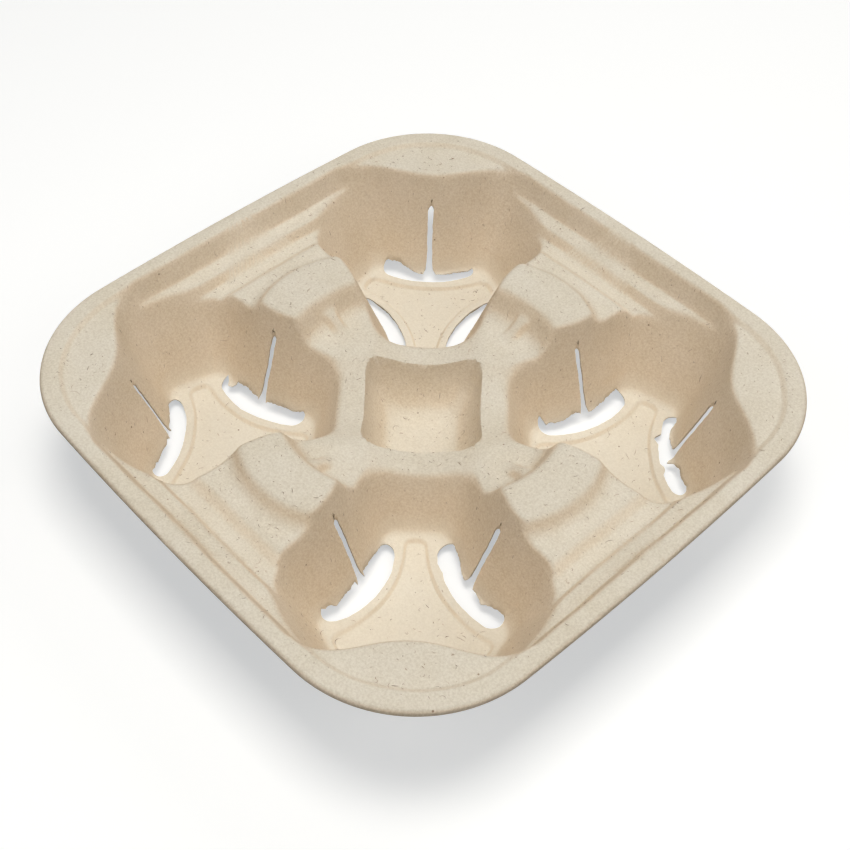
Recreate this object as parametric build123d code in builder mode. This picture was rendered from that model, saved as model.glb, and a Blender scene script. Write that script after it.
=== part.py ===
"""A four-cup carrier of moulded paper pulp: one thin sheet, felted wet over a mould and dried.

The origin is under the middle of the tray, on the plane that its four cup floors stand on.
Lengths are in millimetres and angles in degrees. X and Y run square to the tray's sides.

The tray is made as its mould makes it. form(0) is the solid under the upper face. form(skin) is
the solid under the lower face: each level stands one skin lower, hills are thinner and hollows
are wider. The tray is the first less the second, so that the sheet keeps one thickness.
"""
import os
from math import atan2, cos, degrees, hypot, radians, sin, tan

from build123d import *

# The sheet and the rim
skin = 2.0
side_count = 4
side_turn = 360 / side_count
tray_length = 214.6
side_bow = 3.4
corner_radius = 49.0
rim_width = 6.2
rim_step = 1.3
rim_step_run = 1.8
rim_edge_round = 1.7
overrun = 10.0

# Levels of the upper face above the table
cup_floor = skin
strip_rise = 1.5
strip_level = cup_floor + strip_rise
pocket_floor = 8.0
saddle_level = 25.0
post_level = 30.6
valley_level = 33.0
ledge_level = 35.5
upper_ledge_outer = 37.4
upper_ledge_inner = 35.4
block_level = 41.0
plateau_level = 43.9
rim_level = plateau_level + rim_step

# The stepped side between two cups, as distances from the middle of the tray
wall_top = 101.0
wall_foot = 96.8
upper_ledge_end = 92.1
valley_outer = 89.4
valley_inner = 83.4
ledge_outer = 81.4
ledge_inner = 60.0
side_half_width = 50.0

# The raised block on each side and the gusset at its inner foot
block_outer = 71.0
block_outer_radius = 36.0
block_inner = 53.3
block_inner_radius = 43.0
block_half_width = 30.0
block_draft = 27.0
gusset_width = 5.0
gusset_foot = 41.5
gusset_root = 49.5
gusset_top = 36.0
gusset_round = 1.5

# A cup well, its three tabs and the three lobes between them, as they are at the floor
cup_place = 49.8
tab_count = 3
tab_turn = 360 / tab_count
well_draft = 21.5
well_reach = 32.6
well_corner = 3.6
tab_reach = 20.1
tab_radius = 49.3

# The slots that free the tabs, and the strips along them
slot_reach = 14.0
slot_radius = 39.0
outer_slot_reach = 15.9
outer_slot_radius = 49.5
tab_trim = 1.2
slot_half_length = 18.5
slot_end_round = 1.5
strip_width = 3.2
bell_reach = 28.6
bell_corner = 2.5
bell_run = 1.1
slit_width = 2.0
slit_end = 30.7
slit_end_round = 0.9

# The pocket in the middle and the saddles round it
pocket_half_width = 21.4
pocket_corner = 8.0
pocket_draft = 8.0
pocket_foot_rise = 3.5
pocket_foot_draft = 45.0
saddle_radius = 39.0
saddle_half_length = 40.0

bell_draft = degrees(atan2(bell_run, strip_level - cup_floor))
rim_draft = degrees(atan2(rim_step_run, rim_step))
cup_diagonal = hypot(cup_place, cup_place)
well_depth = rim_level - strip_level
well_spread = well_depth * tan(radians(well_draft))
block_depth = block_level - post_level + overrun
block_spread = block_depth * tan(radians(block_draft))
upright = (Align.CENTER, Align.CENTER, Align.MIN)


def outset(draft, drop):
    """How far a wall of this draft moves sideways where its face moves by drop square to itself."""
    return drop * tan(radians(90 - draft) / 2)


def fold_shift(draft, foot_draft, drop):
    """How far down the fold between two such walls moves where both faces move by drop."""
    mean = radians(draft + foot_draft) / 2
    half_bend = radians(foot_draft - draft) / 2
    return drop * sin(mean) / cos(half_bend)


def tray_outline(inset):
    """The square with bowed sides and round corners that lies inset inside the tray's edge."""
    half = tray_length / 2 - inset
    corner = half - side_bow
    ends = [Vector(corner, -corner).rotate(Axis.Z, side_turn * side) for side in range(side_count + 1)]
    with BuildSketch() as outline:
        with BuildLine():
            for side in range(side_count):
                middle = Vector(half, 0).rotate(Axis.Z, side_turn * side)
                ThreePointArc(ends[side], middle, ends[side + 1])
        make_face()
        fillet(outline.vertices(), corner_radius - inset)
    return outline.sketch


def side_air(drop):
    """The air above one stepped side, from the rim to the middle, as a bar along Y."""
    top = rim_level + overrun
    with BuildPart() as air:
        with BuildSketch(Plane.XZ):
            with BuildLine():
                Polyline(
                    (0, top),
                    (wall_top, top),
                    (wall_top, rim_level),
                    (wall_foot, upper_ledge_outer),
                    (upper_ledge_end, upper_ledge_inner),
                    (valley_outer, valley_level),
                    (valley_inner, valley_level),
                    (ledge_outer, ledge_level),
                    (ledge_inner, ledge_level),
                    (ledge_inner, post_level),
                    (0, post_level),
                    close=True,
                )
            make_face()
            if drop:
                offset(amount=drop, kind=Kind.INTERSECTION)
        extrude(amount=side_half_width, both=True)
    return air.part


def block(drop):
    """The raised block on the +X side: a ring segment between two upright cones of the same draft."""
    shrink = outset(block_draft, drop)
    outer = block_outer_radius - shrink
    inner = block_inner_radius + shrink
    foot_half_width = block_half_width + block_spread - shrink
    foot_level = block_level - block_depth - drop
    with BuildPart() as hill:
        with Locations((block_outer - block_outer_radius, 0, foot_level)):
            Cone(outer + block_spread, outer, block_depth, align=upright)
        with Locations((block_inner - block_inner_radius, 0, foot_level)):
            Cone(inner - block_spread, inner, block_depth, align=upright, mode=Mode.SUBTRACT)
        with BuildSketch(Plane.XY.offset(foot_level)):
            Rectangle(tray_length, 2 * foot_half_width)
        extrude(amount=block_depth, taper=block_draft, mode=Mode.INTERSECT)
    return hill.part


def well_outline(spread):
    """The three-lobed outline of a well, spread outwards. Three round tabs press in between lobes."""
    with BuildSketch() as outline:
        Circle(well_reach + spread)
        with PolarLocations(tab_reach + tab_radius, tab_count):
            Circle(tab_radius - spread, mode=Mode.SUBTRACT)
        fillet(outline.vertices(), well_corner + spread)
    return outline.sketch


def well(drop):
    """The air in a cup well, with its outer tab along +X and its centre on the Z axis."""
    with BuildPart() as air:
        with BuildSketch(Plane.XY.offset(rim_level - drop)):
            add(well_outline(well_spread + outset(well_draft, drop)))
        extrude(amount=-well_depth, taper=well_draft)
        with BuildSketch(Plane.XY.offset(cup_floor - drop)) as sunk:
            add(bell(outset(bell_draft, drop) - bell_run))
        with BuildSketch(Plane.XY.offset(strip_level - drop)) as sill:
            add(bell(outset(bell_draft, drop)))
        loft([sunk.sketch, sill.sketch], ruled=True)
    return air.part


def bell(grow):
    """The sunk middle of a cup floor: three hollow sides along the slots and three blunt ends."""
    with BuildSketch() as outline:
        RegularPolygon(bell_reach + grow, tab_count, major_radius=False)
        with PolarLocations(slot_reach + slot_radius, tab_count - 1, tab_turn, tab_turn, endpoint=True):
            Circle(slot_radius + strip_width - grow, mode=Mode.SUBTRACT)
        with Locations((outer_slot_reach + outer_slot_radius, 0)):
            Circle(outer_slot_radius + strip_width - grow, mode=Mode.SUBTRACT)
        fillet(outline.vertices(), bell_corner + grow)
    return outline.sketch


def pocket(drop):
    """The air in the square pocket, and the two troughs that leave a saddle on each side of it."""
    spread = outset(pocket_draft, drop)
    width = 2 * (pocket_half_width + spread)
    foot = pocket_foot_rise + drop - fold_shift(pocket_draft, pocket_foot_draft, drop)
    with BuildPart() as air:
        with BuildSketch(Plane.XY.offset(post_level - drop)):
            RectangleRounded(width, width, pocket_corner + spread)
        extrude(amount=pocket_floor + foot - post_level, taper=pocket_draft)
        extrude(air.faces().sort_by(Axis.Z)[0], amount=foot, taper=pocket_foot_draft)
        with Locations((0, 0, saddle_level + saddle_radius)):
            Cylinder(saddle_radius + drop, 2 * saddle_half_length, rotation=(90, 0, 0))
            Cylinder(saddle_radius + drop, 2 * saddle_half_length, rotation=(0, 90, 0))
    return air.part


def gusset():
    """The small web that stiffens the inner foot of a block. It is too narrow to be hollow below."""
    with BuildPart() as web:
        with BuildSketch(Plane.XZ):
            with BuildLine():
                Polyline(
                    (gusset_foot, post_level - skin),
                    (gusset_foot, post_level),
                    (gusset_root, gusset_top),
                    (block_inner, gusset_top),
                    (block_inner, post_level - skin),
                    close=True,
                )
            make_face()
        extrude(amount=gusset_width / 2, both=True)
        ridges = web.edges().filter_by(Axis.Y, reverse=True).group_by(Axis.Z)[-1]
        fillet(ridges, gusset_round)
    return web.part


def slot(reach, radius):
    """The T-shaped cut that frees a tab along +X: a bar along the tab's foot and a slit up its wall."""
    with BuildPart() as cut:
        with BuildSketch() as bar:
            with Locations((reach + radius, 0)):
                Circle(radius)
            with Locations((tab_reach + tab_radius, 0)):
                Circle(tab_radius - tab_trim, mode=Mode.SUBTRACT)
            with Locations((reach, 0)):
                Rectangle(radius, 2 * slot_half_length, mode=Mode.INTERSECT)
            fillet(bar.vertices(), slot_end_round)
        with BuildSketch() as slit:
            with Locations((slit_end, 0)):
                Rectangle(slit_end - reach, slit_width, align=(Align.MAX, Align.CENTER))
            fillet(slit.vertices().group_by(Axis.X)[-1], slit_end_round)
        extrude(amount=rim_level)
    return cut.part


def form(drop):
    """The solid under the tray's upper face, or under its lower face where drop is one skin."""
    with BuildPart() as body:
        with BuildSketch(Plane.XY.offset(-drop)):
            add(tray_outline(-overrun if drop else 0))
        extrude(amount=rim_level)
        if not drop:
            fillet(body.faces().sort_by(Axis.Z)[-1].edges(), rim_edge_round)
        with BuildSketch(Plane.XY.offset(plateau_level - drop)):
            add(tray_outline(rim_width + rim_step_run - outset(rim_draft, drop)))
        extrude(amount=rim_step + overrun, taper=-rim_draft, mode=Mode.SUBTRACT)
        air = side_air(drop)
        hill = block(drop)
        with PolarLocations(0, side_count):
            add(air, mode=Mode.SUBTRACT)
        with PolarLocations(0, side_count):
            add(hill)
        if not drop:
            web = gusset()
            with PolarLocations(0, side_count):
                add(web)
        cup = well(drop)
        with PolarLocations(cup_diagonal, side_count, start_angle=side_turn / 2):
            add(cup, mode=Mode.SUBTRACT)
        add(pocket(drop).rotate(Axis.Z, side_turn / 2), mode=Mode.SUBTRACT)
    return body.part


with BuildPart() as carrier_tray:
    add(form(0))
    add(form(skin), mode=Mode.SUBTRACT)
    outer_slot = slot(outer_slot_reach, outer_slot_radius)
    inner_slot = slot(slot_reach, slot_radius)
    with PolarLocations(cup_diagonal, side_count, start_angle=side_turn / 2):
        add(outer_slot, mode=Mode.SUBTRACT)
        add(inner_slot.rotate(Axis.Z, tab_turn), mode=Mode.SUBTRACT)
        add(inner_slot.rotate(Axis.Z, -tab_turn), mode=Mode.SUBTRACT)

carrier_tray.part.label = "carrier_tray"
os.makedirs("parts", exist_ok=True)
export_step(carrier_tray.part, "parts/carrier_tray.step")
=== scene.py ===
# %% [markdown]
# # A moulded pulp cup carrier
# The real thing is one sheet of wet paper fibre, sucked on to a mesh mould and dried. Nothing on it
# is flat for long: every edge is a soft round, because fibre won't settle in a sharp corner. We keep
# the measured model's frame, and give the tray the surface, the torn slots and the loose fibres
# that such a sheet has.

# %% Load the frame
import math

import bmesh
import bpy
import numpy as np
from mathutils import Matrix, Vector


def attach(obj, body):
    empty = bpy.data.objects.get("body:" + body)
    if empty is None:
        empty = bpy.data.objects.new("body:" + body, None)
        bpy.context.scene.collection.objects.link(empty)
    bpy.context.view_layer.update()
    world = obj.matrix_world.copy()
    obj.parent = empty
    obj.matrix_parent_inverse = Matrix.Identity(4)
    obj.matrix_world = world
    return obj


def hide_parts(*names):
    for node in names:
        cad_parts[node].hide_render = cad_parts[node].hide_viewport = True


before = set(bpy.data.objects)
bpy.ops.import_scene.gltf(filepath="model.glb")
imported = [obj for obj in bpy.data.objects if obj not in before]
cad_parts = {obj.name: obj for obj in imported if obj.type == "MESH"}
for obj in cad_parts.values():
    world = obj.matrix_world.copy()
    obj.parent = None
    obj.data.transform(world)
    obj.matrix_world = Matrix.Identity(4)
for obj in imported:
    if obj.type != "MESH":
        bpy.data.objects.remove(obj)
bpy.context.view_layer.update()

# %% [markdown]
# ## The camera
# The photograph looks down on one corner of the tray from about fifty degrees. The camera goes
# first, so that every later step can be looked at from where the photograph was taken.

# %% Place the camera
MM = 0.001
camera_turn = math.radians(45.444)
camera_height_angle = math.radians(49.633)
camera_roll = math.radians(-1.842)
camera_distance = 435 * MM
camera_lens = 56.07
camera_target = np.array([18.067, -16.28, 44.0]) * MM


def camera_axes(turn, height_angle, roll):
    """Right, up and back of a camera that looks at the tray, turned about its own view by roll."""
    flat = math.cos(height_angle)
    back = np.array([math.sin(turn) * flat, -math.cos(turn) * flat, math.sin(height_angle)])
    right = np.array([math.cos(turn), math.sin(turn), 0])
    up = np.cross(back, right)
    rolled_right = math.cos(roll) * right - math.sin(roll) * up
    rolled_up = math.sin(roll) * right + math.cos(roll) * up
    return rolled_right, rolled_up, back


right, up, back = camera_axes(camera_turn, camera_height_angle, camera_roll)
camera_data = bpy.data.cameras.new("camera")
camera_data.lens = camera_lens
camera_data.sensor_width = 36
camera = bpy.data.objects.new("camera", camera_data)
bpy.context.scene.collection.objects.link(camera)
place = np.eye(4)
place[:3, 0] = right
place[:3, 1] = up
place[:3, 2] = back
place[:3, 3] = camera_target + back * camera_distance
camera.matrix_world = Matrix(place.tolist())
bpy.context.scene.camera = camera
print("camera at", place[:3, 3].round(3))

# %% [markdown]
# ## The tray as one function
# A tray like this could be modelled by pushing a grid about, but its walls, steps and lobes would
# never agree with each other. Here it is one function instead. `depth_of` takes a point and says
# how deep it lies inside the solid under the upper face: negative inside, positive in the air.
# Shapes are joined with a minimum and cut with a maximum, and where two of them meet, a rounded
# minimum or maximum lays in the soft edge that pulp has. The lower face is where the same function
# says one skin, so the sheet keeps one thickness all over. Lengths are in millimetres until the
# mesh is made.

# %% The tray's measures
skin = 2.0
half_length = 107.3
side_bow = 3.4
corner_radius = 49.0
rim_width = 6.2
rim_step = 1.5
rim_step_run = 2.66
rim_edge_round = 1.7
rim_level = 45.2
deck_level = 30.6
cup_place = 49.8
strip_level = 3.5
cup_floor = 2.0


# %% Two ways to join shapes softly
def round_min(a, b, radius):
    """The smaller of two depths, with a hollow of the given radius where they are nearly equal."""
    near = np.hypot(np.maximum(radius - a, 0), np.maximum(radius - b, 0))
    return np.maximum(radius, np.minimum(a, b)) - near


def round_max(a, b, radius):
    """The larger of two depths, with a round edge of the given radius where they are nearly equal."""
    near = np.hypot(np.maximum(radius + a, 0), np.maximum(radius + b, 0))
    return np.minimum(-radius, np.maximum(a, b)) + near


# %% [markdown]
# ## The rim
# Seen from above the tray is a square whose sides bow out a little, with big round corners. Each
# side is an arc of a very large circle, and a corner circle touches two of them from inside. By
# symmetry only the distance across a side, `u`, and along it, `v`, matter.

# %% How far inside the edge a point lies
side_radius = ((half_length - side_bow) ** 2 + side_bow**2) / (2 * side_bow)
side_centre = half_length - side_radius
reach = side_radius - corner_radius
corner_place = (side_centre + math.sqrt(2 * reach**2 - side_centre**2)) / 2
corner_turn = math.atan2(corner_place, corner_place - side_centre)


def fold(x, y):
    """The distance across the nearest side of the tray and the distance along it."""
    return np.maximum(abs(x), abs(y)), np.minimum(abs(x), abs(y))


def inset(x, y):
    """The distance in from the tray's edge, on the side's large circle or on the corner's small one."""
    u, v = fold(x, y)
    side = side_radius - np.hypot(u - side_centre, v)
    corner = corner_radius - np.hypot(u - corner_place, v - corner_place)
    return np.where(np.arctan2(v, u - side_centre) > corner_turn, corner, side)


def soft_step(x):
    """A step from nothing to one with no corner at either end: three squares less two cubes."""
    x = np.clip(x, 0, 1)
    return x * x * (3 - 2 * x)


def rim_height(x, y):
    """The height of the flat rim, which steps down once to the plateau inside it."""
    share = (inset(x, y) - rim_width) / rim_step_run
    return rim_level - rim_step * soft_step(share)


print("corner circles at", round(corner_place, 2))

# %% [markdown]
# ## The stepped sides
# Between two cups each side steps down to the middle: a short wall under the rim, a narrow ledge,
# a valley and a broad ledge. The profile is a row of straight runs. Real pulp rounds each corner of
# it, so the profile is averaged over a millimetre or two before it is used. A raised block stands
# on each side, and a small web props up its inner foot.

# %% The side profile
profile_u = np.array([0, 58.5, 61.5, 80.5, 84.4, 89.6, 91.6, 97.2, 101.2, 110])
profile_z = np.array([deck_level, deck_level, 35.5, 35.6, 32.2, 32.4, 36.1, 37.0, 46.2, 48])
fine_u = np.arange(0, 110, 0.1)
blur_reach = 30
blur_width = 6.0
level_ends = 40
spread = np.exp(-(np.arange(-blur_reach, blur_reach + 1) / blur_width) ** 2)
soft_z = np.convolve(np.interp(fine_u, profile_u, profile_z), spread / spread.sum(), mode="same")
soft_z[:level_ends] = soft_z[level_ends]
soft_z[-level_ends:] = soft_z[-level_ends - 1]
soft_slope = np.gradient(soft_z, fine_u)
side_half_width = 50.0
side_end_lean = 0.9


def side_depth(u, v, z):
    """The depth under the side profile, where the side's end turns up to the plateau."""
    lean = np.hypot(1, np.interp(u, fine_u, soft_slope))
    under = (z - np.interp(u, fine_u, soft_z)) / lean
    return round_min(under, (side_half_width - v) * side_end_lean, 1.5)


print("the side's valley lies at", soft_z[fine_u > 80].min().round(2))

# %% The raised blocks
block_top = 41.0
block_draft = math.radians(27)
block_outer_place, block_outer_radius = 35.0, 36.0
block_inner_place, block_inner_radius = 10.3, 43.0
block_half_width = 30.0
gusset_start, gusset_end = 41.0, 56
gusset_foot = 41.5
gusset_slope, gusset_lean = 0.675, 0.83
gusset_top = 35.8
gusset_half_width = 2.6


def block_depth(u, v, z):
    """A raised block: a ring segment in plan, whose sides spread by its draft from the top down."""
    spread_out = math.tan(block_draft) * (block_top - z)
    outer = np.hypot(u - block_outer_place, v) - block_outer_radius
    inner = block_inner_radius - np.hypot(u - block_inner_place, v)
    plan = round_max(round_max(outer, inner, 3), v - block_half_width, 3) - spread_out
    return round_max(plan * math.cos(block_draft), z - block_top, 1.9)


def gusset_depth(u, v, z):
    """The small web at a block's inner foot: a ramp with a round back."""
    ramp = (z - deck_level - (u - gusset_foot) * gusset_slope) * gusset_lean
    body = np.maximum(np.maximum(gusset_start - u, u - gusset_end), z - gusset_top)
    return round_max(round_max(ramp, v - gusset_half_width, 2.2), body, 1.0)


# %% [markdown]
# ## A cup well
# A well is a round hole that three tabs press into, which leaves three lobes. Low down the lobes
# end straight, higher up they end round, and each tab is part of a circle that shrinks as it
# rises. The floor has a sunk middle with three hollow sides, shaped like a bell seen three ways.

# %% The well's air
lobe_turns = np.radians([105.0, 225.0, 345.0])
tab_turns = np.radians([45.0, 165.0, 285.0])
lobe_reach, lobe_spread = 30.7, 19.5
tab_radius, tab_radius_fall = 50.0, 18.0
tab_reach, tab_spread = 20.5, 15.0
notch_round, notch_round_rise = 5, 10
wall_lean = 0.92
bell_reach = 28.6
bell_run = 1.5
bell_sides = ((65.4, 52.7), (53.0, 42.2), (53.0, 42.2))


def blunt_reach(x, y):
    """How far a point lies out along the lobe that it is nearest to, measured on that lobe's axis."""
    return np.max([x * math.cos(a) + y * math.sin(a) for a in lobe_turns], axis=0)


def far_gap(x, y, far, turn):
    """The plan distance to a circle's middle that lies so far out, in the direction of turn."""
    return np.hypot(x - far * math.cos(turn), y - far * math.sin(turn))


def well_outline(x, y, rise):
    """The plan distance to a well's wall where it has risen by a share of its height."""
    span = lobe_reach + lobe_spread * rise
    ends = (1 - rise) * blunt_reach(x, y) + rise * np.hypot(x, y) - span
    radius = tab_radius - tab_radius_fall * rise
    far = tab_reach + tab_spread * rise + radius
    tabs = radius - np.min([far_gap(x, y, far, turn) for turn in tab_turns], axis=0)
    return round_max(ends, tabs, notch_round + notch_round_rise * rise)


def bell_outline(x, y):
    """The plan distance to the sunk middle of a cup's floor."""
    sides = [radius - far_gap(x, y, far, turn) for (far, radius), turn in zip(bell_sides, tab_turns)]
    return round_max(blunt_reach(x, y) - bell_reach, np.max(sides, axis=0), 2.5)


def well_air(x, y, z):
    """The distance to a cup's air: inside its outline at this height and above its floor."""
    x, y = abs(x) - cup_place, abs(y) - cup_place
    rise = np.clip((z - strip_level) / (rim_level - strip_level), -0.05, 1.05)
    wall = well_outline(x, y, rise) * wall_lean
    sunk = soft_step(0.5 - bell_outline(x, y) / bell_run)
    floor = strip_level - (strip_level - cup_floor) * sunk
    return round_max(wall, floor - z, 2.4)


# %% [markdown]
# ## The pocket and its saddles
# In the middle sits a square pocket, turned by an eighth of a turn. Its steep walls run out in a
# wide, soft foot. A trough crosses each way over it, which lowers the deck between the pocket and
# every cup.

# %% The middle's air
pocket_floor = 8.0
pocket_half, pocket_draft, pocket_corner = 21.4, math.radians(9), 8
foot_half, foot_draft, foot_corner = 11.2, math.radians(44), 6
trough_level, trough_radius = 64.0, 39.0
trough_half_length = 40.0


def round_square(p, q, half, corner):
    """The distance to a square with round corners, from its half width and its corners' radius."""
    over_p, over_q = abs(p) - half + corner, abs(q) - half + corner
    beyond = np.hypot(np.maximum(over_p, 0), np.maximum(over_q, 0))
    return np.minimum(np.maximum(over_p, over_q), 0) + beyond - corner


def pocket_air(x, y, z):
    """The distance to the pocket's air or to one of the two troughs, whichever is nearer."""
    p, q = (x + y) * math.sqrt(0.5), (x - y) * math.sqrt(0.5)
    wall_half = pocket_half + (z - deck_level) * math.tan(pocket_draft)
    low_half = foot_half + (z - pocket_floor) * math.tan(foot_draft)
    wall = round_square(p, q, wall_half, pocket_corner) * math.cos(pocket_draft)
    foot = round_square(p, q, low_half, foot_corner) * math.cos(foot_draft)
    pocket = round_max(round_max(wall, foot, 6.0), pocket_floor - z, 2.2)
    first = np.maximum(np.hypot(p, z - trough_level) - trough_radius, abs(q) - trough_half_length)
    second = np.maximum(np.hypot(q, z - trough_level) - trough_radius, abs(p) - trough_half_length)
    return np.minimum(pocket, np.minimum(first, second))


# %% [markdown]
# ## The whole tray
# Each form is joined to the ones before it or cut out of them, with its own soft edge. A height on
# the tray is then found by trying: halve the gap between a point in the air and one in the solid,
# over and over.


# %% The depth and the height anywhere
side_edge_round = 1.2
block_foot_round = 3.4
gusset_foot_round = 1.6
well_edge_round = 1.5
pocket_edge_round = 2.0
lowest, highest = -6.0, 48.0
height_halvings = 24


def depth_of(x, y, z):
    """The depth inside the solid under the tray's upper face."""
    u, v = fold(x, y)
    deck = round_max(z - rim_height(x, y), side_depth(u, v, z), side_edge_round)
    deck = round_min(deck, block_depth(u, v, z), block_foot_round)
    deck = round_min(deck, gusset_depth(u, v, z), gusset_foot_round)
    deck = round_max(deck, -well_air(x, y, z), well_edge_round)
    return round_max(deck, -pocket_air(x, y, z), pocket_edge_round)


def waver(x, y):
    """Slow, shallow unevenness, as drying leaves it: a few waves that cross at odd angles."""
    first = np.sin(0.081 * x + 0.047 * y + 0.6) + np.sin(0.139 * y - 0.066 * x + 2.1)
    second = np.sin(0.23 * x - 0.11 * y + 4.0) + np.sin(0.31 * y + 0.19 * x + 1.3)
    return 0.11 * first + 0.07 * second


def height_at(x, y, drop, uneven=1.0):
    """The height where the depth is drop, found by halving the gap between too low and too high."""
    shift_x, shift_y = uneven * waver(x, y), uneven * waver(y + 40.0, 31.0 - x)
    low = np.full(np.shape(x), lowest)
    high = np.full(np.shape(x), highest)
    edge = np.minimum(-inset(x, y), -0.0005)
    for _ in range(height_halvings):
        middle = (low + high) / 2
        depth = depth_of(x + shift_x, y + shift_y, middle)
        if not np.any(drop):
            depth = round_max(depth, edge, rim_edge_round)
        inside = depth < -drop
        low = np.where(inside, middle, low)
        high = np.where(inside, high, middle)
    return (low + high) / 2


print("block top at", height_at(np.array([62.0]), np.array([0.0]), 0).round(2))

# %% [markdown]
# The knives press the wet sheet thin where they cut it. So the lower face comes up towards the
# upper one along every slot, and the torn edges look like paper and not like a sawn board.


# %% How thick the sheet is
bar_half_length = 18.3
bar_far, bar_radius, bar_half_width = 62.0, 44.0, 2.6
slit_middle, slit_half_length, slit_half_width = 24.0, 6.6, 0.9
pressed_in, press_reach = 1.5, 4.5


def skin_at(x, y):
    """The sheet's thickness: one skin, drawn in to a thin edge where a slot's bar or slit is near."""
    x, y = abs(x) - cup_place, abs(y) - cup_place
    gap = np.full(np.shape(x), 50.0)
    for turn in tab_turns:
        out = x * math.cos(turn) + y * math.sin(turn)
        along = y * math.cos(turn) - x * math.sin(turn)
        bar_gap = abs(np.hypot(out - bar_far, along) - bar_radius) - bar_half_width
        bar = np.maximum(bar_gap, abs(along) - bar_half_length)
        slit = np.maximum(abs(along) - slit_half_width, abs(out - slit_middle) - slit_half_length)
        gap = np.minimum(gap, np.minimum(bar, slit))
    return skin - pressed_in * soft_step(1.1 - gap / press_reach)


print("sheet at a slit", skin_at(cup_place + np.array([17.0]), cup_place + np.array([17.0])).round(2))


# %% [markdown]
# ## A grid that knows where the walls are
# An even grid would spend most of its points on flat ground. This one starts at the middle of a
# cup and runs out along rays to the edge of that quarter of the tray. Along each ray the points
# are dealt out by how far the surface itself runs, so steep walls and round edges get their share.


# %% Rays over one quarter
longest_ray = 100.0
samples = 500
clear_run = 22
slope_weight, bend_weight, outer_weight = 0.7, 7.0, 0.4
blur_rays = 4
blur_share = 1.3


def quarter_rays(counts):
    """Directions out of a cup's middle, with rays through the three corners of its quarter."""
    side_corner = math.atan2(-cup_place, half_length - cup_place)
    stops = [-0.75 * math.pi, side_corner, 0.5 * math.pi - side_corner, 1.25 * math.pi]
    runs = [np.linspace(a, b, n, endpoint=False) for a, b, n in zip(stops, stops[1:], counts)]
    return np.concatenate(runs)


def ray_lengths(turns):
    """The length of each ray to the line x = 0, the line y = 0 or the tray's edge."""
    low, high = np.zeros_like(turns), np.full_like(turns, longest_ray)
    for _ in range(40):
        middle = (low + high) / 2
        x, y = cup_place + middle * np.cos(turns), cup_place + middle * np.sin(turns)
        inside = np.minimum(np.minimum(x, y), inset(x, y)) > 0
        low, high = np.where(inside, middle, low), np.where(inside, high, middle)
    return (low + high) / 2


def quarter_grid(turns, rings, drop):
    """Plan positions on the rays, spaced by the run of the surface, smoothed over nearby rays."""
    lengths = ray_lengths(turns)
    shares = np.linspace(0, 1, samples)
    run = lengths[:, None] * shares
    x = cup_place + run * np.cos(turns)[:, None]
    y = cup_place + run * np.sin(turns)[:, None]
    z = height_at(np.clip(x, 0, None), np.clip(y, 0, None), drop, 0.0)
    step = lengths[:, None] / (samples - 1)
    slope = np.gradient(z, axis=1) / step
    bend = abs(np.gradient(np.arctan(slope), axis=1)) / step
    weight = np.hypot(1, slope_weight * slope) + bend_weight * bend + outer_weight * (run > clear_run)
    blur = np.exp(-(np.arange(-blur_rays, blur_rays + 1) / blur_share) ** 2)
    padded = np.concatenate([weight[-blur_rays:], weight, weight[:blur_rays]])
    weight = sum(padded[i:i + len(turns)] * share for i, share in enumerate(blur))
    weight = (weight[:, :-1] + weight[:, 1:]) / 2
    total = np.concatenate([np.zeros((len(turns), 1)), np.cumsum(weight, axis=1)], axis=1)
    total /= total[:, -1:]
    wanted = np.linspace(0, 1, rings + 1)
    spots = np.array([np.interp(wanted, row, shares) for row in total])
    run = lengths[:, None] * spots
    return cup_place + run * np.cos(turns)[:, None], cup_place + run * np.sin(turns)[:, None]


turns = quarter_rays((80, 94, 80))
upper_x, upper_y = quarter_grid(turns, 66, 0)
lower_x, lower_y = quarter_grid(turns, 23, skin)
print(len(turns), "rays,", upper_x.shape[1], "rings above,", lower_x.shape[1], "below")


# %% [markdown]
# ## From grids to one closed sheet
# The quarter is mirrored to all four cups, the heights are looked up at the true positions, and the
# upper and lower faces are sewn together along the rim. Points that fall on each other, in the
# middle of a cup or on the lines between the quarters, are merged.


# %% Build the sheet
def grid_faces(rows, columns, start, flip):
    """Quads of a closed ring of rays, numbered from start; flip turns them over."""
    row = np.arange(rows)[:, None]
    column = np.arange(columns - 1)[None, :]
    here = start + row * columns + column
    beside = start + (row + 1) % rows * columns + column
    quads = np.stack([here, here + 1, beside + 1, beside], axis=-1).reshape(-1, 4)
    return quads[:, ::-1] if flip else quads


def sheet_mesh():
    """Vertices and quads of the four quarters, upper face, lower face and the rim between them."""
    rays = len(turns)
    points, quads, count = [], [], 0
    for sign_x, sign_y in ((1, 1), (-1, 1), (-1, -1), (1, -1)):
        mirrored = sign_x * sign_y < 0
        starts = []
        for grid_x, grid_y, drop in ((upper_x, upper_y, 0), (lower_x, lower_y, skin)):
            x, y = sign_x * grid_x, sign_y * grid_y
            z = height_at(x, y, skin_at(x, y) if drop else 0)
            points.append(np.stack([x, y, z], axis=-1).reshape(-1, 3))
            quads.append(grid_faces(rays, x.shape[1], count, mirrored != bool(drop)))
            starts.append(count + np.arange(rays) * x.shape[1] + x.shape[1] - 1)
            count += x.size
        above, below = starts
        strip = np.stack([above, below, np.roll(below, -1), np.roll(above, -1)], axis=-1)
        on_edge = inset(upper_x[:, -1], upper_y[:, -1]) < 0.01
        strip = strip[on_edge & np.roll(on_edge, -1)]
        quads.append(strip[:, ::-1] if mirrored else strip)
    return np.concatenate(points), np.concatenate(quads)


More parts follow.
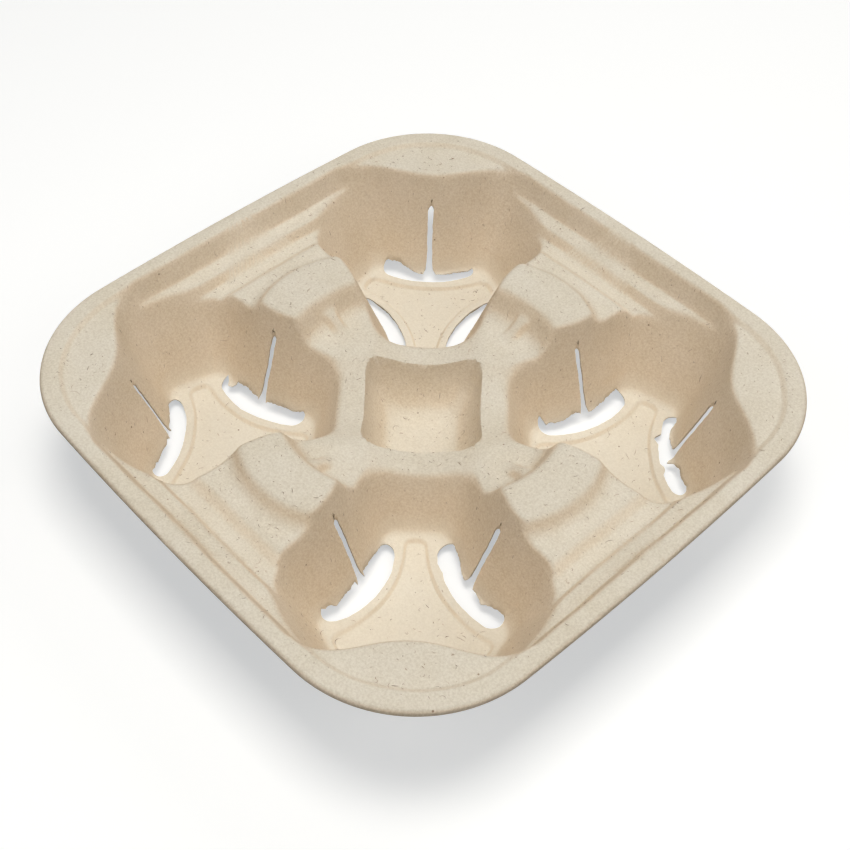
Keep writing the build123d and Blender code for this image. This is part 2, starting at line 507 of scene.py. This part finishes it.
def merge_points(points, quads, grain=0.004):
    """One number for all points in the same place, and faces without their doubled corners."""
    keys = np.round(points / grain).astype(np.int64)
    _, first, number = np.unique(keys, axis=0, return_index=True, return_inverse=True)
    return points[first], number.reshape(-1)[quads]


def tidy_faces(quads):
    """Faces as lists, where a quad with two corners in one place becomes a triangle."""
    doubled = quads == np.roll(quads, 1, axis=1)
    whole = quads[~doubled.any(axis=1)].tolist()
    pinched = quads[doubled.sum(axis=1) == 1]
    keep = ~doubled[doubled.sum(axis=1) == 1]
    return whole + pinched[keep].reshape(-1, 3).tolist()


sheet_points, sheet_quads = merge_points(*sheet_mesh())
sheet_faces = tidy_faces(sheet_quads)
tray_data = bpy.data.meshes.new("pulp_tray")
tray_data.from_pydata((sheet_points * MM).tolist(), [], sheet_faces)
tray_data.validate()
tray = bpy.data.objects.new("pulp_tray", tray_data)
bpy.context.scene.collection.objects.link(tray)
print("sheet has", len(sheet_points), "points and", len(sheet_faces), "faces")

# %% [markdown]
# ## The torn slots
# Each tab is freed by a T-shaped cut: a bar along its foot and a slit up its wall. The mould's
# knives leave the floor side clean, but the tab side tears, so its line wanders. Each cut is a
# flat outline drawn up into a prism, and one Boolean modifier takes all twelve out of the sheet.


# %% Cutters for the slots
torn_far, torn_radius = 70.3, 49.2
thinnest_bar = 0.5
end_run = 2.4
slit_foot, slit_top = 20.8, 30.6
slit_flare = 1.1


def wander(t, seed, size, waves):
    """A ragged line: waves of falling size whose places come from the seed."""
    steps = np.arange(1, waves + 1)
    phases = np.random.default_rng(seed).uniform(0, 2 * math.pi, waves)
    rows = np.sin(np.outer(t, steps * 2.3) + phases) / steps**0.7
    return size * rows.sum(axis=1) / math.sqrt(waves)


def slot_outline(near, near_radius, habit, seed):
    """A T-shaped outline round the tab axis: the floor side of the bar, its torn side, the slit."""
    shift, slit_width, lean, tab_knots, floor_knots = habit
    low_end, high_end = shift - bar_half_length, shift + bar_half_length
    along = np.linspace(low_end, high_end, 150)
    floor_side = near + near_radius - np.sqrt(near_radius**2 - along**2) + wander(along / 6, seed, 0.12, 7)
    tab_side = torn_far - np.sqrt(torn_radius**2 - along**2) + wander(along / 4, seed + 50, 0.36, 14)
    floor_side += np.interp(along, *zip(*floor_knots))
    tab_side += np.interp(along, *zip(*tab_knots))
    middle = (floor_side + tab_side) / 2
    half = np.maximum((tab_side - floor_side) / 2, thinnest_bar)
    end_gap = np.clip(np.minimum(along - low_end, high_end - along) / end_run + 0.01, 0, 1)
    taper = np.sqrt(end_gap * (2 - end_gap))
    floor_side, tab_side = middle - half * taper, middle + half * taper
    up = np.linspace(0, 1, 48)
    rise = slit_foot + (slit_top + shift / 2 - slit_foot) * up
    half_slit = slit_width * (0.42 + 0.12 * up) * np.sqrt(np.clip((1 - up) * 16, 0, 1)) + 0.02
    half_slit += slit_flare * np.exp(-(rise - slit_foot) / slit_flare)
    middle_slit = (wander(up * 4, seed + 9, 0.25, 5) + lean) * up
    left = np.stack([rise, middle_slit - half_slit + wander(up * 9, seed + 3, 0.1, 8)], axis=1)
    right = np.stack([rise, middle_slit + half_slit + wander(up * 9, seed + 6, 0.1, 8)], axis=1)
    lower = np.stack([floor_side, along], axis=1)
    upper = np.stack([tab_side, along], axis=1)
    high_part = upper[along > right[0, 1] + 0.3][::-1]
    low_part = upper[along < left[0, 1] - 0.3][::-1]
    return np.concatenate([lower, high_part, right, left[::-1], low_part])[::-1]


def prism(outline, centre, turn, low, high):
    """Points and faces of an outline that is turned, moved to a cup and drawn upwards."""
    x = centre[0] + outline[:, 0] * math.cos(turn) - outline[:, 1] * math.sin(turn)
    y = centre[1] + outline[:, 0] * math.sin(turn) + outline[:, 1] * math.cos(turn)
    count = len(outline)
    points = [np.stack([x, y, np.full(count, z)], axis=1) for z in (low, high)]
    here = np.arange(count)
    beside = (here + 1) % count
    sides = np.stack([here, beside, beside + count, here + count], axis=1).tolist()
    return np.concatenate(points), sides + [here[::-1].tolist(), (here + count).tolist()]


# %% [markdown]
# No two slots tore alike. Each has its habit: how far it sits to one side, how wide its slit is and
# which way that leans, and where its torn side and its floor side leave the knife's line, as pairs
# of a place along the bar and a distance. The hidden ones share one plain habit.

# %% Habits of the slots, by cup and tab
plain_habit = (0.2, 1.5, 0.2, [(-18, 0.2), (0, 0), (18, 0.4)], [(-18, 0.2), (18, 0.3)])
habits = {
    (1, 0): (
        0.3, 2.1, 0.2,
        [(-18, 0.6), (-16, -1.0), (-9, -1.1), (-4, -1.3), (4, -1.1), (9, 0.2), (13, 1.3), (18, 1.2)],
        [(-18, 1.6), (-14, 0.9), (-8, 0.1), (8, -0.1), (18, 0.7)],
    ),
    (2, 0): (
        0.4, 1.5, -0.3,
        [(-18, -1.0), (-13, 0.5), (-6, 0.6), (6, 0.2), (18, 0.4)],
        [(-18, 0.8), (-10, -0.2), (8, 0), (18, 0.4)],
    ),
    (2, 2): (
        0.5, 1.7, -1.0,
        [
            (-18, 1.3), (-15, 0.1), (-9, 0.5), (4, 0.2), (9, 0.8),
            (12.5, 0.2), (14, -2.4), (16, -2.8), (18, 0.2),
        ],
        [(-18, 0.2), (-8, 0.3), (5, -0.2), (18, 0.6)],
    ),
    (3, 2): (
        0.5, 2.1, -0.3,
        [(-18, -0.9), (-12, 0.4), (-5, 0.9), (5, 0.5), (10, 0.2), (12.5, -0.7), (14, 0.4), (18, 0.9)],
        [(-18, 0.6), (-9, -0.4), (3, -0.3), (14, 0.6), (18, 1.8)],
    ),
    (3, 1): (
        0.1, 2.4, -0.2,
        [
            (-18, 0.6), (-14, 0.7), (-11, 0.3), (-8, -0.9), (-4, -0.2),
            (5, -0.6), (9, 0.3), (14, 0.5), (18, -0.4),
        ],
        [(-18, 0.2), (6, 0.1), (9, 0.5), (13, -0.3), (18, 0.2)],
    ),
    (0, 1): (
        0.3, 1.7, 0.6,
        [
            (-18, -0.2), (-16, 0.7), (-13, 0.8), (-8, 0.1), (-3, -0.5),
            (4, 0.4), (12, -0.8), (13.5, -0.3), (15.5, -1.0), (17.2, 1.5),
        ],
        [(-18, 0.6), (-8, 0), (12, 0.2), (18, 0.5)],
    ),
    (0, 0): (
        0.2, 2.5, 0.4,
        [
            (-18, 0.3), (-8, 0.4), (-5, -0.4), (-3.6, -2.6), (-2.4, -2.0),
            (3, -0.5), (8, -1.4), (12, -1.2), (15, 0.1), (18, -0.6),
        ],
        [
            (-18, 0.6), (-9, 0.1), (-6.8, 1.3), (-5.4, 1.2), (-4, 0),
            (5, 0.1), (7.6, -1.7), (8.6, -1.5), (10, 0.7), (18, 0.2),
        ],
    ),
}

# %% Lay out the twelve cutters
outer_floor_side, inner_floor_side = (15.9, 49.5), (14.0, 39.0)
cutter_low, cutter_high = -1.0, 47.0
cutter_points, cutter_faces, cutter_count = [], [], 0
slit_tops = []
for cup in range(4):
    diagonal = math.radians(45 + 90 * cup)
    centre = np.array([math.cos(diagonal), math.sin(diagonal)]) * cup_place * math.sqrt(2)
    for tab in range(3):
        near, near_radius = outer_floor_side if tab == 0 else inner_floor_side
        habit = habits.get((cup, tab), plain_habit)
        outline = slot_outline(near, near_radius, habit, 10 * cup + tab)
        top = outline[outline[:, 0].argmax()]
        turn = diagonal + math.radians(120 * tab)
        slit_tops.append((*(centre + top[0] * np.array([math.cos(turn), math.sin(turn)])), turn))
        points, faces = prism(outline, centre, turn, cutter_low, cutter_high)
        cutter_points.append(points)
        cutter_faces += [[i + cutter_count for i in face] for face in faces]
        cutter_count += len(points)
cutter_data = bpy.data.meshes.new("slot_cutter")
cutter_data.from_pydata((np.concatenate(cutter_points) * MM).tolist(), [], cutter_faces)
cutter = bpy.data.objects.new("slot_cutter", cutter_data)
bpy.context.scene.collection.objects.link(cutter)
print("cutters have", cutter_count, "points")

# %% Cut the slots
cut = tray.modifiers.new("slots", "BOOLEAN")
cut.operation = "DIFFERENCE"
cut.solver = "MANIFOLD"
cut.object = cutter
bpy.context.view_layer.update()
graph = bpy.context.evaluated_depsgraph_get()
cut_data = bpy.data.meshes.new_from_object(tray.evaluated_get(graph))
tray.modifiers.clear()
tray.data = cut_data
cut_data.name = "pulp_tray"
bpy.data.objects.remove(cutter)
print("cut sheet has", len(cut_data.polygons), "faces")

# %% [markdown]
# Smooth shading hides the grid, but the cut edges of the slots must stay crisp. So an edge is
# marked sharp where its two faces lean apart by more than fifty degrees.

# %% Shade the sheet
sharp_lean = math.radians(50)
work = bmesh.new()
work.from_mesh(cut_data)
for face in work.faces:
    face.smooth = True
for edge in work.edges:
    edge.smooth = len(edge.link_faces) == 2 and edge.calc_face_angle(0) < sharp_lean
open_edges = sum(len(edge.link_faces) != 2 for edge in work.edges)
work.to_mesh(cut_data)
work.free()
print("edges without two faces:", open_edges)

# %% [markdown]
# ## Loose fibres
# Recycled paper brings coarse brown fibres with it. Some lie on the sheet as short hairs, and at the
# top of a slit, where the knife stopped, a few stand out as a tuft. A hair is a three-sided tube
# along an arc that lies on the sheet. It is thickest in its middle and runs out at both ends.


# %% Hairs
probe = 0.2
hair_lift = 0.1


def hair_paths(x, y, turn, length, curl):
    """Five points along each hair: an arc about its middle, laid on the sheet, as long as asked."""
    share = np.linspace(-0.5, 0.5, 5)
    heading = turn[:, None] + curl[:, None] * share
    ahead_x, ahead_y = x + np.cos(turn) * probe, y + np.sin(turn) * probe
    slope = (height_at(ahead_x, ahead_y, 0) - height_at(x, y, 0)) / probe
    plan = (length / np.hypot(1, slope))[:, None] * share
    path_x = x[:, None] + plan * np.cos(heading)
    path_y = y[:, None] + plan * np.sin(heading)
    return np.stack([path_x, path_y, height_at(path_x, path_y, 0) + hair_lift], axis=-1), heading


def hair_mesh(name, paths, heading, radius):
    """Three-sided tubes along the paths, radius times the root of one less the place squared thick."""
    hairs, stations = heading.shape
    thin = radius[:, None] * np.sqrt(1.04 - np.linspace(-1, 1, stations) ** 2)
    side = np.stack([-np.sin(heading), np.cos(heading), np.zeros_like(heading)], axis=-1) * thin[..., None]
    crest = np.zeros_like(side)
    crest[..., 2] = 1.5 * thin
    points = np.stack([paths + side, paths - side, paths + crest], axis=2)
    start = np.arange(hairs)[:, None, None] * stations * 3
    station = np.arange(stations - 1)[None, :, None] * 3
    corner = np.arange(3)[None, None, :]
    here, beside = start + station + corner, start + station + (corner + 1) % 3
    quads = np.stack([here, beside, beside + 3, here + 3], axis=-1).reshape(-1, 4).tolist()
    first = (start[:, 0] + np.array([2, 1, 0])).tolist()
    last = (start[:, 0] + (stations - 1) * 3 + np.arange(3)).tolist()
    data = bpy.data.meshes.new(name)
    data.from_pydata((points.reshape(-1, 3) * MM).tolist(), [], quads + first + last)
    piece = bpy.data.objects.new(name, data)
    bpy.context.scene.collection.objects.link(piece)
    return piece


# %% Strew the hairs
strewn_reach = 104
strewn_draws = 2300
bare_edge = 4
full_skin = 1.2
dice = np.random.default_rng(11)
strewn_x, strewn_y = dice.uniform(-strewn_reach, strewn_reach, (2, strewn_draws))
clear_of_edge = inset(strewn_x, strewn_y) > bare_edge
clear_of_slots = skin_at(strewn_x, strewn_y) > full_skin
lies = clear_of_edge & clear_of_slots
strewn_x, strewn_y = strewn_x[lies], strewn_y[lies]
strewn = len(strewn_x)
strewn_turn = dice.uniform(0, math.pi, strewn)
strewn_length = 0.4 + dice.exponential(0.6, strewn).clip(0, 4)
paths, heading = hair_paths(strewn_x, strewn_y, strewn_turn, strewn_length, dice.normal(0, 1.2, strewn))
loose_fibres = hair_mesh("loose_fibres", paths, heading, dice.uniform(0.04, 0.09, strewn))
print(strewn, "loose hairs")

# %% Set the tufts
tuft_hairs = 7
tuft_shift = 0.14
tops = np.repeat(np.array(slit_tops), tuft_hairs, axis=0)
tuft_turn = tops[:, 2] + dice.uniform(-1.2, 1.2, len(tops))
tuft_length = dice.uniform(0.8, 2.2, len(tops))
tuft_x = tops[:, 0] + np.cos(tuft_turn) * tuft_length * tuft_shift
tuft_y = tops[:, 1] + np.sin(tuft_turn) * tuft_length * tuft_shift
paths, heading = hair_paths(tuft_x, tuft_y, tuft_turn, tuft_length, dice.normal(0, 0.8, len(tops)))
slit_tufts = hair_mesh("slit_tufts", paths, heading, dice.uniform(0.06, 0.11, len(tops)))
print(len(tops), "hairs in tufts")

# %% [markdown]
# ## The pulp finish
# Bleached bagasse and paper pulp is a pale, greyish cream. It is quite matt. Close up it has a fine
# grain, broader cloudy patches where the fibre settled thicker, and a few brown specks. Steep faces
# are painted browner than the level faces, as painted shade, and the middle pocket's walls less so
# than the cups', as painted light. The sunk floors of the cups are painted palest, as painted light.


# %% Helpers for node materials
def new_material(name):
    """A material with its shader node, its node tree and a Texture Coordinate node."""
    material = bpy.data.materials.new(name)
    material.use_nodes = True
    tree = material.node_tree
    shader = tree.nodes["Principled BSDF"]
    return material, tree, shader, tree.nodes.new("ShaderNodeTexCoord")


def noise(tree, place_node, scale, detail, roughness=0.5):
    """A noise texture on the object's own coordinates."""
    node = tree.nodes.new("ShaderNodeTexNoise")
    node.inputs["Scale"].default_value = scale
    node.inputs["Detail"].default_value = detail
    node.inputs["Roughness"].default_value = roughness
    tree.links.new(place_node.outputs["Object"], node.inputs["Vector"])
    return node.outputs["Fac"]


def remap(tree, value, low, high, to_low, to_high):
    """The value stretched from one range to another and held there."""
    node = tree.nodes.new("ShaderNodeMapRange")
    node.inputs["From Min"].default_value = low
    node.inputs["From Max"].default_value = high
    node.inputs["To Min"].default_value = to_low
    node.inputs["To Max"].default_value = to_high
    tree.links.new(value, node.inputs["Value"])
    return node.outputs["Result"]


def split(tree, kind, value):
    """The parts of a vector or a colour, by a Separate node of the given kind."""
    node = tree.nodes.new(kind)
    tree.links.new(value, node.inputs[0])
    return node.outputs


def math_node(tree, operation, first, second=0):
    """One sum with two values, where each is a socket or a number."""
    node = tree.nodes.new("ShaderNodeMath")
    node.operation = operation
    for socket, value in zip(node.inputs, (first, second)):
        if isinstance(value, (int, float)):
            socket.default_value = value
        else:
            tree.links.new(value, socket)
    return node.outputs[0]


def background_rays(tree):
    """1 for rays that show a background, the camera's, mirrored and glass ones, and 0 for others."""
    rays = tree.nodes.new("ShaderNodeLightPath")
    shown = math_node(tree, "ADD", rays.outputs["Is Camera Ray"], rays.outputs["Is Glossy Ray"])
    shown = math_node(tree, "ADD", shown, rays.outputs["Is Transmission Ray"])
    return math_node(tree, "MINIMUM", shown, 1)


def mix_colour(tree, share, first, second):
    """A colour between two, where each is a socket or a written colour."""
    node = tree.nodes.new("ShaderNodeMix")
    node.data_type = "RGBA"
    tree.links.new(share, node.inputs["Factor"])
    for socket, value in ((node.inputs["A"], first), (node.inputs["B"], second)):
        if isinstance(value, tuple):
            socket.default_value = (*value, 1)
        else:
            tree.links.new(value, socket)
    return node.outputs["Result"]


# %% The pulp's colour on level faces, with painted shade on the walls and painted light on the floors
level_dark = ((0.650, 0.570, 0.440), (0.690, 0.615, 0.492))
level_pale = ((0.760, 0.685, 0.550), (0.795, 0.730, 0.608))
# The browns for steep faces are painted shade: they stand in for the darker, warmer light on the walls.
painted_shade_thin = ((0.675, 0.535, 0.372), (0.790, 0.668, 0.505))
painted_shade_thick = ((0.720, 0.585, 0.430), (0.830, 0.705, 0.545))
# The pale colour for the lowest floors is painted light, as from light bounced into the cups.
painted_floor_light_colour = (0.86, 0.80, 0.67)
painted_floor_light_share = 0.42
painted_floor_light_heights = (0.004, 0.012)
painted_shade_slopes = (0.96, 0.60)
# Inside the pocket the walls get less of the painted shade, which is painted light that makes them paler.
pocket_painted_shade = 0.70
pocket_border = (0.027, 0.036)
cloud_scale, grain_scale = 55, 1300

pulp, tree, shader, place_node = new_material("moulded_pulp")
cloud = remap(tree, noise(tree, place_node, cloud_scale, 3), 0.3, 0.7, 0, 1)
grain = remap(tree, noise(tree, place_node, grain_scale, 3, 0.75), 0.36, 0.62, 0, 1)
dark = mix_colour(tree, cloud, *level_dark)
pale = mix_colour(tree, cloud, *level_pale)
thin = mix_colour(tree, grain, *painted_shade_thin)
thick = mix_colour(tree, grain, *painted_shade_thick)
level_colour = mix_colour(tree, grain, dark, pale)
painted_shade_colour = mix_colour(tree, cloud, thin, thick)
geometry = tree.nodes.new("ShaderNodeNewGeometry")
lie = split(tree, "ShaderNodeSeparateXYZ", geometry.outputs["Normal"])
# The steeper a face, the more of the browner painted shade it gets.
steep = remap(tree, math_node(tree, "ABSOLUTE", lie["Z"]), *painted_shade_slopes, 0, 1)
spot = split(tree, "ShaderNodeSeparateXYZ", place_node.outputs["Object"])
square_x = math_node(tree, "POWER", spot["X"], 2)
square_y = math_node(tree, "POWER", spot["Y"], 2)
from_middle = math_node(tree, "SQRT", math_node(tree, "ADD", square_x, square_y))
# Less painted shade near the middle: painted light on the pocket's walls.
painted_shade_by_pocket = remap(tree, from_middle, *pocket_border, pocket_painted_shade, 1)
painted_shade_share = math_node(tree, "MULTIPLY", steep, painted_shade_by_pocket)
colour = mix_colour(tree, painted_shade_share, level_colour, painted_shade_colour)
# Faces low in the cups are painted paler towards the floor: painted light, as if light bounced from the
# walls pools there.
deep = remap(tree, spot["Z"], *painted_floor_light_heights, painted_floor_light_share, 0)
colour = mix_colour(tree, deep, colour, painted_floor_light_colour)
print("colour has", len(tree.nodes), "nodes")

# %% Specks and grain
speck_brown = (0.25, 0.13, 0.06)
speck_scale = 210
speck_share, speck_strength = 0.16, 0.75
fuzz_scale, lump_scale = 1100, 240
fuzz_share = 0.6
bump_strength, bump_distance = 0.55, 0.0004

cells = tree.nodes.new("ShaderNodeTexVoronoi")
cells.inputs["Scale"].default_value = speck_scale
tree.links.new(place_node.outputs["Object"], cells.inputs["Vector"])
lot = split(tree, "ShaderNodeSeparateColor", cells.outputs["Color"])
chosen = math_node(tree, "LESS_THAN", lot["Red"], speck_share)
close = remap(tree, cells.outputs["Distance"], 0.05, 0.09, 1, 0)
speck = math_node(tree, "MULTIPLY", math_node(tree, "MULTIPLY", chosen, close), speck_strength)
colour = mix_colour(tree, speck, colour, speck_brown)
tree.links.new(colour, shader.inputs["Base Color"])
shader.inputs["Roughness"].default_value = 0.92
shader.inputs["Specular IOR Level"].default_value = 0.2
bump = tree.nodes.new("ShaderNodeBump")
bump.inputs["Strength"].default_value = bump_strength
bump.inputs["Distance"].default_value = bump_distance
fuzz = noise(tree, place_node, fuzz_scale, 4, 0.65)
lumps = noise(tree, place_node, lump_scale, 2)
rough_height = math_node(tree, "ADD", math_node(tree, "MULTIPLY", fuzz, fuzz_share), lumps)
tree.links.new(rough_height, bump.inputs["Height"])
tree.links.new(bump.outputs["Normal"], shader.inputs["Normal"])
tray.data.materials.clear()
tray.data.materials.append(pulp)
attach(tray, "root")
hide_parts("carrier_tray")
print("pulp material has", len(tree.nodes), "nodes")

# %% The fibres' material
fibre_browns = (
    (loose_fibres, (0.20, 0.10, 0.05), (0.46, 0.30, 0.19)),
    (slit_tufts, (0.13, 0.09, 0.06), (0.24, 0.17, 0.10)),
)
for piece, dark, pale in fibre_browns:
    fibre, tree, shader, place_node = new_material(piece.name + "_brown")
    variety = remap(tree, noise(tree, place_node, 260, 1), 0.35, 0.65, 0, 1)
    tree.links.new(mix_colour(tree, variety, dark, pale), shader.inputs["Base Color"])
    shader.inputs["Roughness"].default_value = 0.85
    piece.data.materials.append(fibre)
    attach(piece, "root")

# %% [markdown]
# ## Floor and light
# The photograph is a plain catalogue picture on a white ground, in a broad light from high above
# the tray. A strong lamp hangs overhead, and three weaker ones light the walls from behind, from
# the right and from the front. The floor shows white to the camera, bounces less light than that
# on to the tray, and still takes its shadow. The sky is white where it is seen or mirrored, and
# lights nothing else.

# %% The floor
floor_half = 4.0
bounce_grey = (0.35, 0.35, 0.35)
ground_white = (0.62, 0.60, 0.56)
glow_white = (0.94, 0.97, 1.0, 1)
glow_strength = 0.52
floor_corners = [(x * floor_half, y * floor_half, 0) for x, y in ((-1, -1), (1, -1), (1, 1), (-1, 1))]
floor_data = bpy.data.meshes.new("floor")
floor_data.from_pydata(floor_corners, [], [(0, 1, 2, 3)])
floor = bpy.data.objects.new("floor", floor_data)
bpy.context.scene.collection.objects.link(floor)
floor_finish, tree, shader, _ = new_material("white_ground")
shown = background_rays(tree)
tree.links.new(mix_colour(tree, shown, bounce_grey, ground_white), shader.inputs["Base Color"])
shader.inputs["Roughness"].default_value = 1.0
shader.inputs["Specular IOR Level"].default_value = 0.0
glow = tree.nodes.new("ShaderNodeEmission")
glow.inputs["Color"].default_value = glow_white
tree.links.new(math_node(tree, "MULTIPLY", shown, glow_strength), glow.inputs["Strength"])
both = tree.nodes.new("ShaderNodeAddShader")
tree.links.new(shader.outputs["BSDF"], both.inputs[0])
tree.links.new(glow.outputs["Emission"], both.inputs[1])
tree.links.new(both.outputs["Shader"], tree.nodes["Material Output"].inputs["Surface"])
floor_data.materials.append(floor_finish)
print("floor is", 2 * floor_half, "m wide")

# %% The sky
world = bpy.data.worlds.new("studio")
bpy.context.scene.world = world
world.use_nodes = True
sky = world.node_tree.nodes["Background"]
sky.inputs["Color"].default_value = (1.0, 1.0, 1.0, 1)
world.node_tree.links.new(background_rays(world.node_tree), sky.inputs["Strength"])

# %% The lights
lamp_size = 0.5
tray_middle = Vector((0.0, 0.0, 0.02))
lamps = (
    ("overhead", 7.9, (0.0, 0.0, 1.12)),
    ("behind", 1.85, (0.0, 0.8, 0.8)),
    ("right", 1.85, (0.8, 0.0, 0.8)),
    ("front", 1.65, (0.0, -0.8, 0.8)),
)
for name, power, lamp_place in lamps:
    lamp_data = bpy.data.lights.new(name, "AREA")
    lamp_data.size = lamp_size
    lamp_data.energy = power
    lamp = bpy.data.objects.new(name, lamp_data)
    bpy.context.scene.collection.objects.link(lamp)
    lamp.location = lamp_place
    away = (lamp.location - tray_middle).normalized()
    lamp.rotation_euler = away.to_track_quat("Z", "Y").to_euler()
bpy.context.scene.view_settings.view_transform = "Standard"
print(len(lamps), "lamps")
